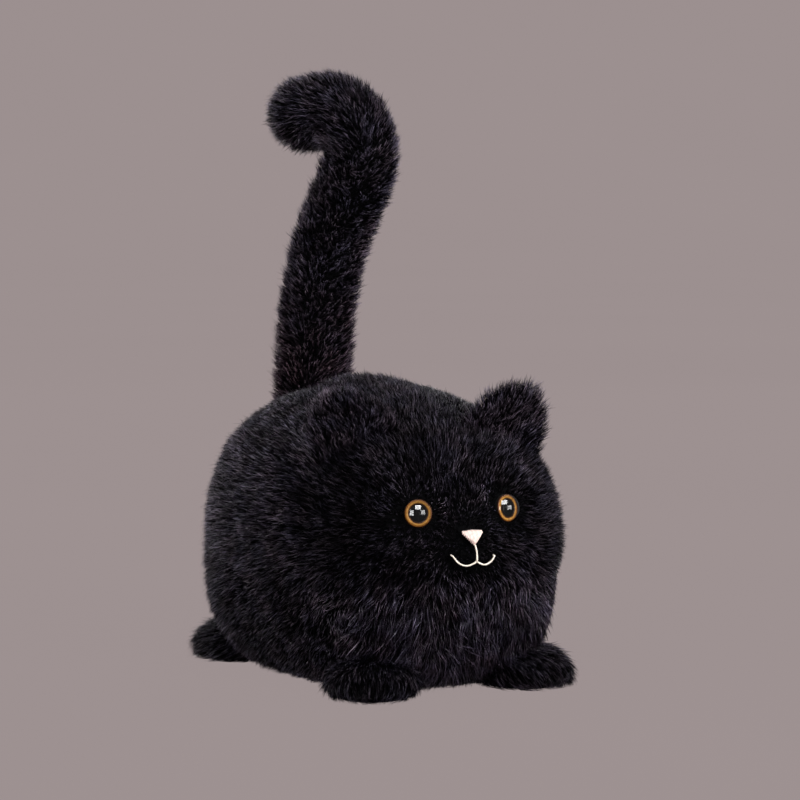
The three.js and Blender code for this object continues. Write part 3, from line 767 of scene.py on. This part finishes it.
def make_ears(coat):
    middle, along, up, front = ear_frame()
    half = EAR_WIDTH / 2 - 0.5
    crown = EAR_HEIGHT - 0.8
    rim = np.vstack((
        bezier((-half, -3), (-half + 2, crown * 0.45), (-half * 0.45, crown * 0.92), (EAR_SWEEP, crown), 25),
        bezier((EAR_SWEEP, crown), (half * 0.6, crown), (half - 0.8, crown * 0.6), (half, -3), 25)[1:],
    ))
    centre = np.array([0.0, -3.0])
    steps = 16
    shares = np.linspace(0, 1, steps + 1) ** 0.8
    across = len(rim)
    flat = np.array([centre + (edge - centre) * share for share in shares[1:] for edge in rim])
    share = np.repeat(shares[1:], across)
    for side_name, side in SIDES:
        mirror = np.array([side, 1.0, 1.0])
        rng = np.random.default_rng(70 + side)
        cup = 1.4 * (flat[:, 0] / half) ** 2 - 0.5
        thick = 1.5 * np.sqrt(np.clip(1 - share**2.4, 0, 1)) + 0.15

        def placed(offset):
            return (
                middle + flat[:, :1] * along + flat[:, 1:] * up + (cup + offset)[:, None] * front
            ) * mirror

        layers = [placed(thick), placed(-thick)]
        hub = [(middle + centre[1] * up + t * front) * mirror for t in (1.2, -2.2)]
        points = np.vstack((*layers, hub))
        ring = len(flat)
        faces = []
        for layer in (0, 1):
            base, tip = layer * ring, 2 * ring + layer
            for i in range(across - 1):
                faces.append((tip, base + i, base + i + 1) if layer else (tip, base + i + 1, base + i))
            for row in range(steps - 1):
                for i in range(across - 1):
                    a, b = base + row * across + i, base + (row + 1) * across + i
                    faces.append((a, b, b + 1, a + 1) if layer else (a, a + 1, b + 1, b))
        last = (steps - 1) * across
        for i in range(across - 1):
            a, b = last + i, ring + last + i
            faces.append((a, a + 1, b + 1, b))
        for i, flip in ((0, False), (across - 1, True)):
            chain = [row * across + i for row in range(steps)]
            upper = [2 * ring] + chain
            lower = [2 * ring + 1] + [ring + v for v in chain]
            for a, b, c, d in zip(upper, upper[1:], lower[1:], lower):
                faces.append((d, c, b, a) if flip else (a, b, c, d))
        cloth = mesh_of(f"ear_{side_name}_cloth", points, faces)
        face_outwards(cloth)
        cloth.data.shade_smooth()
        cloth.data.materials.append(bpy.data.materials["backing_knit"])
        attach(cloth, f"{side_name}_ear")

        root, normal = scatter(cloth, coat.density * 1.15, rng)
        local = root * mirror - middle
        height = local @ up
        spread = local @ along
        keep = (height > -1.5) & ~inside_body(root, -1.5)
        root, normal, height, spread = root[keep], normal[keep], height[keep], spread[keep]
        facing = (normal * mirror) @ front
        fan = ((spread / half * 0.6)[:, None] * along + np.ones((len(root), 1)) * up) * mirror
        edge = smooth(0.8, 1.0, np.hypot(spread / half, height / crown))
        front_side = facing > 0.15
        length = np.where(front_side, 0.8, 1.0) * coat.ear_pile_length / MM
        lift = (36 - 16 * edge, 20 - 12 * edge)
        pile = Pile(root, normal, fan, length, rng, lift, wander=0.3)
        pile.clump(rng, 9, coat.tuft_pull * 0.9)
        # Painted light: the whole ear pile is made a little lighter, and the strands at its upper rim lighter still,
        # a painted rim light.
        pile.shade *= 1.04 + 0.12 * edge * smooth(0.6, 0.95, height / crown)
        for part, keep, slot in (("front", front_side, "short_pile"), ("back", ~front_side, "long_pile")):
            piece = pile.mesh(f"ear_{side_name}_{part}_pile", keep, bpy.data.materials["long_pile_black"])
            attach(piece, f"{side_name}_ear")
            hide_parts(f"ear_{side_name}_{part}")


# ---- Tail ----


def tail_points():
    return np.array([TAIL_HEADING * along + [*TAIL_ROOT, height] for along, height in TAIL_LINE])


def make_tail(coat):
    radius = TAIL_RADIUS - coat.backing_depth / MM
    line = curve_through(tail_points(), 14)
    ways = unit(np.gradient(line, axis=0))
    across = unit(np.cross(TAIL_HEADING, [0, 0, 1.0]))
    turns = 40
    angles = np.linspace(0, 2 * math.pi, turns, endpoint=False)
    # Round caps at both ends: the line is lengthened by a radius, and its rings shrink to a point there.
    caps = np.radians(np.linspace(90, 8, 10))
    out = radius * np.sin(caps)[:, None]
    centres = np.vstack((line[0] - ways[0] * out, line, line[-1] + ways[-1] * out[::-1]))
    headings = np.vstack((np.tile(ways[0], (len(caps), 1)), ways, np.tile(ways[-1], (len(caps), 1))))
    shrink = radius * np.cos(caps)
    radii = np.maximum(np.concatenate((shrink, np.full(len(line), radius), shrink[::-1])), 0.02)
    over = unit(np.cross(headings, across))
    rings = centres[:, None] + radii[:, None, None] * (
        np.cos(angles)[None, :, None] * across + np.sin(angles)[None, :, None] * over[:, None]
    )
    cover = mesh_of("tail_cover", rings.reshape(-1, 3), ring_faces(len(centres), turns))
    face_outwards(cover, 0.05 * MM)
    cover.data.shade_smooth()
    cover.data.materials.append(bpy.data.materials["backing_knit"])

    rng = np.random.default_rng(90)
    root, normal = scatter(cover, coat.density * 0.92, rng)
    keep = (root[:, 2] > 55) & ~inside_body(root, -2.5)
    root, normal = root[keep], normal[keep]
    length = coat.tail_pile_length / MM * (1 + 0.1 * smooth(130, 95, root[:, 2]))
    pile = Pile(root, normal, ways[nearest(root, line)], length, rng, (62, 42), wander=0.45, guard=0.12)
    pile.clump(rng, 9, coat.tuft_pull)
    # Painted light: the tail's strands are made lighter and its pile gets a lighter copy of the tip colour, for the
    # light falling on the raised tail.
    pile.shade *= 1.08
    finish = pile_material(
        "tail_pile_black", (0.001, 0.001, 0.0011), tuple(1.05 * v for v in coat.tip_colour), (1.0, 0.74, 0.72),
        (0.72, 0.76, 1.0), low=((1.0, 0.74, 0.68), 0.095, 0.14),
    )
    lower, upper = root[:, 2] < 118, root[:, 2] >= 158
    pieces = [
        ("tail_lower_pile", lower, ["tail_right_half"]),
        ("tail_middle_pile", ~lower & ~upper, ["tail_left_half"]),
        ("tail_hook_pile", upper, ["tail_tip_right_half", "tail_tip_left_half"]),
    ]
    made = [(cover, [])]
    for name, keep, nodes in pieces:
        made.append((pile.mesh(name, keep, finish), nodes))
    for piece, nodes in made:
        if nodes:
            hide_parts(*nodes)
        if piece.name == "tail_lower_pile":
            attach(piece, "tail")
        else:
            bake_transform(piece)


# ---- Eyes, nose and mouth ----


def make_eyes():
    clear = clear_material("clear_plastic")
    black = speckled(
        "pupil_black", (0.002, 0.002, 0.002), (0.003, 0.003, 0.003), 300, Roughness=0.3, Specular_IOR_Level=0.05
    )
    floor, edge, crown = 1.7, 2.1, 5.0
    bulge = (EYE_RADIUS**2 + (crown - edge) ** 2) / (2 * (crown - edge))
    sweep = math.asin(EYE_RADIUS / bulge)
    dome = [(0.0, floor), (EYE_RADIUS - 0.15, floor), (EYE_RADIUS, floor + 0.15)]
    for i in range(15):
        angle = sweep * (1 - i / 14)
        dome.append((bulge * math.sin(angle), crown - bulge + bulge * math.cos(angle)))
    dome[-1] = (0.0, crown)
    for name, side in SIDES:
        seat, look = eye_seat(side)
        iris = iris_material(f"amber_paint_{name}", seat + look * 1.4)
        for part, profile, finish, slot in (
            ("dome", dome, clear, "clear_plastic"),
            ("iris", [(2.8, 1.0), (4.6, 1.0), (4.65, 1.05), (4.65, 1.4), (4.6, 1.45), (2.8, 1.45), (2.8, 1.0)],
             iris, "amber_paint"),
            ("pupil", [(0.0, 1.0), (2.7, 1.0), (2.76, 1.06), (2.76, 1.5), (2.6, 1.62), (0.0, 1.66)],
             black, "black_plastic"),
        ):
            piece = spun(f"eye_{name}_{part}_turned", profile, seat, look, 64)
            piece.data.materials.append(finish)
            if part == "dome":
                bpy.data.collections["eye_domes"].objects.link(piece)
                spared = bpy.data.collections["all_but_eye_domes"]
                spared.objects.link(piece)
                spared.collection_objects[-1].light_linking.link_state = "EXCLUDE"
            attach(piece, "body")
            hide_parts(f"eye_{name}_{part}")


def sweep_tube(points, radius, sides):
    """Points and faces of a closed tube along a line, with a rounded end at each tip."""
    points = np.asarray(points, float)
    ways = unit(np.gradient(points, axis=0))
    side = unit(np.cross(ways, [0, -1.0, 0]))
    over = np.cross(side, ways)
    taper = np.ones(len(points))
    taper[0] = taper[-1] = 0.45
    angles = np.linspace(0, 2 * math.pi, sides, endpoint=False)
    ring = np.cos(angles)[:, None, None] * side + np.sin(angles)[:, None, None] * over
    ring = points[None] + ring * (radius * taper)[None, :, None]
    ring = ring.transpose(1, 0, 2).reshape(-1, 3)
    faces = ring_faces(len(points), sides)
    last = (len(points) - 1) * sides
    faces.append(tuple(range(sides)))
    faces.append(tuple(last + i for i in reversed(range(sides))))
    return ring, faces


def join_tubes(name, tubes, finish):
    points, faces, start = [], [], 0
    for ring, sides in tubes:
        points.append(ring)
        faces += [tuple(i + start for i in face) for face in sides]
        start += len(ring)
    piece = mesh_of(name, np.vstack(points), faces)
    face_outwards(piece)
    piece.data.shade_smooth()
    piece.data.materials.append(finish)
    return piece


def nose_outline(x):
    """Top and bottom of the nose at a distance from its middle."""
    share = min(abs(x) / (NOSE_WIDTH / 2), 1)
    top = NOSE_LEVEL - 0.75 + 0.3 * (1 - share**2)
    bottom = NOSE_LEVEL - NOSE_HEIGHT * (1 - share) ** 0.8 + 0.25 * share
    return top, bottom


def make_nose(face):
    finish = thread_material("pink_thread", tuple(0.55 * v for v in face.nose_colour), tuple(face.nose_colour))
    tubes = []
    spacing = 0.45
    count = int(NOSE_WIDTH / spacing)
    for i in range(count):
        x = (i + 0.5) * spacing - count * spacing / 2
        top, bottom = nose_outline(x)
        if top - bottom < 0.3:
            continue
        line = []
        for t in np.linspace(-0.04, 1.04, 11):
            z = top + (bottom - top) * t
            crown = 0.95 * (1 - min(abs(x) / 4.9, 1) ** 2.2) * (1 - abs(2 * min(max(t, 0), 1) - 1) ** 3.5)
            line.append((x * (1 + 0.04 * t), front_at(x, z) - 0.55 - crown, z))
        tubes.append(sweep_tube(line, 0.27, 8))
    piece = join_tubes("nose_stitches", tubes, finish)
    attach(piece, "body")
    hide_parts("nose")


def make_mouth(face):
    finish = thread_material("cream_thread", tuple(0.6 * v for v in face.thread_colour), tuple(face.thread_colour))
    for name, places in mouth_lines().items():
        line = curve_through([(x, 0, z) for x, z in places], 10)
        line[:, 1] = [front_at(x, z) - 1.15 for x, _, z in line]
        line[0, 1] += 0.9
        line[-1, 1] += 1.1
        reach = np.concatenate(([0], np.cumsum(np.linalg.norm(np.diff(line, axis=0), axis=1))))
        fine = np.arange(0, reach[-1], 0.09)
        line = np.column_stack([np.interp(fine, reach, line[:, i]) for i in range(3)])
        ways = unit(np.gradient(line, axis=0))
        side = unit(np.cross(ways, [0, -1.0, 0]))
        over = np.cross(side, ways)
        tubes = []
        for ply in range(3):
            angle = (fine / 1.5 * 2 * math.pi + ply * 2 * math.pi / 3)[:, None]
            tubes.append(sweep_tube(line + 0.14 * (np.cos(angle) * side + np.sin(angle) * over), 0.155, 7))
        piece = join_tubes(f"mouth_{name}_thread", tubes, finish)
        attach(piece, "body")
        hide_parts(f"mouth_{name}")


# ---- Inside the covers ----


def dress_inner_parts():
    fibre = speckled("fibre_fill", (0.62, 0.60, 0.56), (0.82, 0.80, 0.76), 260, Roughness=1.0, Sheen_Weight=0.4)
    pouch = cloth_material("pouch_cloth", (0.42, 0.38, 0.30), (0.70, 0.66, 0.56), 500, 4e-4)
    pellets = speckled("pellet_plastic", (0.55, 0.55, 0.52), (0.80, 0.80, 0.77), 500, Roughness=0.5)
    post = speckled("post_plastic", (0.006, 0.006, 0.006), (0.012, 0.012, 0.012), 400, Roughness=0.3)
    washer = speckled("washer_plastic", (0.72, 0.71, 0.67), (0.84, 0.83, 0.79), 400, Roughness=0.45)
    finishes = (("filling", fibre), ("wad", fibre), ("pouch", pouch), ("pellets", pellets), ("post", post),
                ("washer", washer))
    for name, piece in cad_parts.items():
        for ending, finish in finishes:
            if name.endswith(ending):
                piece.data.materials.clear()
                piece.data.materials.append(finish)


# ---- Stage ----


def softbox(name, place, aim, size, power):
    data = bpy.data.lights.new(name, "AREA")
    data.shape = "RECTANGLE"
    data.size, data.size_y = size
    data.energy = power
    lamp = bpy.data.objects.new(name, data)
    bpy.context.scene.collection.objects.link(lamp)
    lamp.location = place
    lamp.rotation_euler = (Vector(aim) - Vector(place)).to_track_quat("-Z", "Y").to_euler()
    return lamp


def make_stage(stage):
    scene = bpy.context.scene
    deselect()
    bpy.ops.mesh.primitive_plane_add(size=1, location=(0, 0, 0))
    floor = bpy.context.object
    floor.scale = (16.0, 14.0, 1.0)
    floor.location = (0, -3.0, 0)
    settle(floor, "studio_sweep")
    only(floor)
    bpy.ops.object.mode_set(mode="EDIT")
    bpy.ops.mesh.select_all(action="DESELECT")
    bpy.ops.object.mode_set(mode="OBJECT")
    for edge in floor.data.edges:
        edge.select = all(floor.data.vertices[v].co.y > 3.9 for v in edge.vertices)
    bpy.ops.object.mode_set(mode="EDIT")
    bpy.ops.mesh.extrude_edges_move(TRANSFORM_OT_translate={"value": (0, 0, 4.0)})
    bpy.ops.object.mode_set(mode="OBJECT")
    bend = floor.modifiers.new("Sweep", "BEVEL")
    bend.width, bend.segments, bend.limit_method = 1.2, 24, "ANGLE"
    only(floor)
    bpy.ops.object.modifier_apply(modifier=bend.name)
    floor.data.shade_smooth()
    base = tuple(stage.paper_colour)
    paper, tree, shader = material("studio_paper", Roughness=1.0, Specular_IOR_Level=0.0, Emission_Strength=1.0)
    cloud = object_noise(tree, 3.0)
    glow = ramp(tree, cloud, [(0.3, tuple(0.99 * v for v in base)), (0.7, base)])
    tree.links.new(glow, shader.inputs["Emission Color"])
    tree.links.new(mix(tree, 1.0, glow, (0.01, 0.01, 0.01), "MULTIPLY"), shader.inputs["Base Color"])
    floor.data.materials.append(paper)
    floor.visible_glossy = False  # black flags keep the paper out of the eyes

    world = bpy.data.worlds.new("studio_air")
    world.use_nodes = True
    glow_of_air = world.node_tree.nodes["Background"].inputs
    glow_of_air["Color"].default_value = (1.0, 0.98, 0.99, 1.0)
    glow_of_air["Strength"].default_value = stage.air
    scene.world = world

    # The eyes' domes join both collections when they are turned: the catch lights fall on them alone, and the rest
    # of the lamps on all but them.
    eyes = bpy.data.collections.new("eye_domes")
    coat_only = bpy.data.collections.new("all_but_eye_domes")
    # Bearings are degrees round from the camera, to its right, and up from the floor.
    for name, bearing, height, distance, size, power in (
        ("top_front", 0, 51, 1.15, (0.8, 0.7), 9.5),
        ("left_front", -50, 10, 1.2, (0.4, 0.7), 3.5),
        ("left", -104, 10, 1.1, (0.5, 0.7), 16.0),
        ("right_front", 44, 16, 1.2, (0.6, 0.55), 17.0),
        ("right", 88, 22, 1.2, (0.4, 0.6), 9.0),
        ("overhead_back", 165, 66, 1.1, (0.7, 0.5), 4.0),
        ("rim_left", -158, 14, 1.3, (0.25, 0.8), 5.0),
        ("rim_right", 158, 14, 1.3, (0.25, 0.8), 5.0),
        ("catch_top", 5, 51, 1.0, (0.72, 0.6), 24.0),
        ("catch_left", -41, 8, 1.0, (0.5, 0.55), 12.0),
        ("catch_right", 40, 13, 1.0, (0.5, 0.52), 8.0),
    ):
        turn, up = math.radians(stage.azimuth + bearing), math.radians(height)
        way = Vector((math.sin(turn) * math.cos(up), -math.cos(turn) * math.cos(up), math.sin(up)))
        middle = Vector((0, 0, 0.07))
        lamp = softbox(name, middle + way * distance, middle, size, power * stage.brightness)
        lamp.light_linking.receiver_collection = eyes if name.startswith("catch") else coat_only
        if name.startswith("catch"):
            # The pile round an eye then cuts nothing out of its reflections.
            lamp.light_linking.blocker_collection = eyes

    azimuth, elevation = math.radians(stage.azimuth), math.radians(stage.elevation)
    right = Vector((math.cos(azimuth), math.sin(azimuth), 0))
    forward = Vector((
        -math.sin(azimuth) * math.cos(elevation), math.cos(azimuth) * math.cos(elevation), -math.sin(elevation)
    ))
    up = right.cross(forward)
    aim = Vector((0, 0, 0.099)) + right * 0.00534 - up * 0.00517
    data = bpy.data.cameras.new("camera")
    data.lens, data.sensor_width = 143.5, 36.0
    data.clip_start, data.clip_end = 0.05, 30.0
    camera = bpy.data.objects.new("camera", data)
    scene.collection.objects.link(camera)
    camera.location = aim - forward * stage.distance
    camera.rotation_mode = "QUATERNION"
    camera.rotation_quaternion = forward.to_track_quat("-Z", "Y")
    scene.camera = camera
    scene.view_settings.view_transform = "Standard"


# ---- Add-on ----


def number_property(name, description, default):
    return bpy.props.FloatProperty(name=name, description=description, default=default)


def size_property(name, description, default):
    return bpy.props.FloatProperty(
        name=name, description=description, default=default, min=0.0, unit="LENGTH", subtype="DISTANCE"
    )


def colour_property(name, description, default):
    return bpy.props.FloatVectorProperty(
        name=name, description=description, default=default, size=3, subtype="COLOR", min=0.0, max=1.0
    )


class PlushCatCoat(bpy.types.PropertyGroup):
    backing_depth: size_property("Backing depth", "How far the knitted backing is inside the dense pile", 0.0011)
    pile_length: size_property("Pile length", "Length of the pile on the back and sides", 0.0050)
    face_pile_length: size_property("Face pile", "Length of the trimmed pile in the middle of the face", 0.0048)
    ruff_length: size_property("Chest pile", "Length of the pile that hangs on the chest", 0.0105)
    foot_pile_length: size_property("Foot pile", "Length of the pile on the feet", 0.0064)
    ear_pile_length: size_property("Ear pile", "Length of the pile on the ears", 0.0064)
    tail_pile_length: size_property("Tail pile", "Length of the pile on the tail", 0.0050)
    density: number_property("Strands per mm2", "How closely the strands stand", 3.3)
    tuft_pull: bpy.props.FloatProperty(
        name="Tufts", description="How far strands lean together into tufts", default=0.45, min=0.0, max=1.0,
        subtype="FACTOR",
    )
    tip_colour: colour_property("Tip colour", "Colour of the pile at its tips", (0.038, 0.0312, 0.0455))


class PlushCatFace(bpy.types.PropertyGroup):
    nose_colour: colour_property("Nose", "Colour of the nose's satin stitches", (0.86, 0.66, 0.60))
    thread_colour: colour_property("Mouth", "Colour of the mouth's thread", (0.90, 0.81, 0.70))


class PlushCatStage(bpy.types.PropertyGroup):
    azimuth: number_property("Azimuth", "Camera's turn round the cat, degrees", -26.5)
    elevation: number_property("Elevation", "Camera's height, degrees", 4.8)
    distance: size_property("Distance", "Camera's distance", 1.1)
    brightness: number_property("Brightness", "Strength of all lamps", 1.0)
    air: number_property("Air", "Strength of the light from all round", 0.17)
    paper_colour: colour_property("Paper", "Colour of the studio paper", (0.333, 0.279, 0.279))


class PLUSHCAT_OT_body_cover(bpy.types.Operator):
    """Sew the stuffed cover of the body"""

    bl_idname = "plushcat.body_cover"
    bl_label = "Body cover"

    def execute(self, context):
        make_body_cover(context.scene.plush_coat)
        return {"FINISHED"}


class PLUSHCAT_OT_body_pile(bpy.types.Operator):
    """Grow the pile of the face, chest, back, sides and rump"""

    bl_idname = "plushcat.body_pile"
    bl_label = "Body pile"

    def execute(self, context):
        make_body_pile(context.scene.plush_coat, bpy.data.objects["body_cover"])
        return {"FINISHED"}


class PLUSHCAT_OT_feet(bpy.types.Operator):
    """Sew the four stub feet and grow their pile"""

    bl_idname = "plushcat.feet"
    bl_label = "Feet"

    def execute(self, context):
        make_feet(context.scene.plush_coat)
        return {"FINISHED"}


class PLUSHCAT_OT_ears(bpy.types.Operator):
    """Sew the two ears and grow their pile"""

    bl_idname = "plushcat.ears"
    bl_label = "Ears"

    def execute(self, context):
        make_ears(context.scene.plush_coat)
        return {"FINISHED"}


class PLUSHCAT_OT_tail(bpy.types.Operator):
    """Sew the hooked tail and grow its pile"""

    bl_idname = "plushcat.tail"
    bl_label = "Tail"

    def execute(self, context):
        make_tail(context.scene.plush_coat)
        return {"FINISHED"}


class PLUSHCAT_OT_eyes(bpy.types.Operator):
    """Turn the clear domes, amber rings and pupils of the eyes"""

    bl_idname = "plushcat.eyes"
    bl_label = "Eyes"

    def execute(self, context):
        make_eyes()
        return {"FINISHED"}


class PLUSHCAT_OT_nose(bpy.types.Operator):
    """Stitch the nose"""

    bl_idname = "plushcat.nose"
    bl_label = "Nose"

    def execute(self, context):
        make_nose(context.scene.plush_face)
        return {"FINISHED"}


class PLUSHCAT_OT_mouth(bpy.types.Operator):
    """Stitch the mouth from twisted thread"""

    bl_idname = "plushcat.mouth"
    bl_label = "Mouth"

    def execute(self, context):
        make_mouth(context.scene.plush_face)
        return {"FINISHED"}


class PLUSHCAT_OT_inner_parts(bpy.types.Operator):
    """Give the filling, pouch, pellets, posts and washers their materials"""

    bl_idname = "plushcat.inner_parts"
    bl_label = "Inner parts"

    def execute(self, context):
        dress_inner_parts()
        return {"FINISHED"}


class PLUSHCAT_OT_stage(bpy.types.Operator):
    """Set the studio paper, the softboxes and the camera"""

    bl_idname = "plushcat.stage"
    bl_label = "Stage"

    def execute(self, context):
        make_stage(context.scene.plush_stage)
        return {"FINISHED"}


STEPS = (
    PLUSHCAT_OT_stage,
    PLUSHCAT_OT_body_cover,
    PLUSHCAT_OT_body_pile,
    PLUSHCAT_OT_feet,
    PLUSHCAT_OT_ears,
    PLUSHCAT_OT_tail,
    PLUSHCAT_OT_eyes,
    PLUSHCAT_OT_nose,
    PLUSHCAT_OT_mouth,
    PLUSHCAT_OT_inner_parts,
)


class PLUSHCAT_PT_panel(bpy.types.Panel):
    """Lists the steps that make the cat"""

    bl_idname = "PLUSHCAT_PT_panel"
    bl_label = "Plush Cat"
    bl_space_type = "VIEW_3D"
    bl_region_type = "UI"
    bl_category = "Plush Cat"

    def draw(self, context):
        for group in (context.scene.plush_coat, context.scene.plush_face, context.scene.plush_stage):
            for key in group.__annotations__:
                self.layout.prop(group, key)
        for step in STEPS:
            self.layout.operator(step.bl_idname)


GROUPS = {"plush_coat": PlushCatCoat, "plush_face": PlushCatFace, "plush_stage": PlushCatStage}
CLASSES = (*GROUPS.values(), *STEPS, PLUSHCAT_PT_panel)


def register():
    for cls in CLASSES:
        bpy.utils.register_class(cls)
    for key, group in GROUPS.items():
        setattr(bpy.types.Scene, key, bpy.props.PointerProperty(type=group))


def unregister():
    for key in GROUPS:
        delattr(bpy.types.Scene, key)
    for cls in reversed(CLASSES):
        bpy.utils.unregister_class(cls)


def main():
    register()
    for step in STEPS:
        group, name = step.bl_idname.split(".")
        getattr(getattr(bpy.ops, group), name)()


if __name__ == "__main__":
    main()
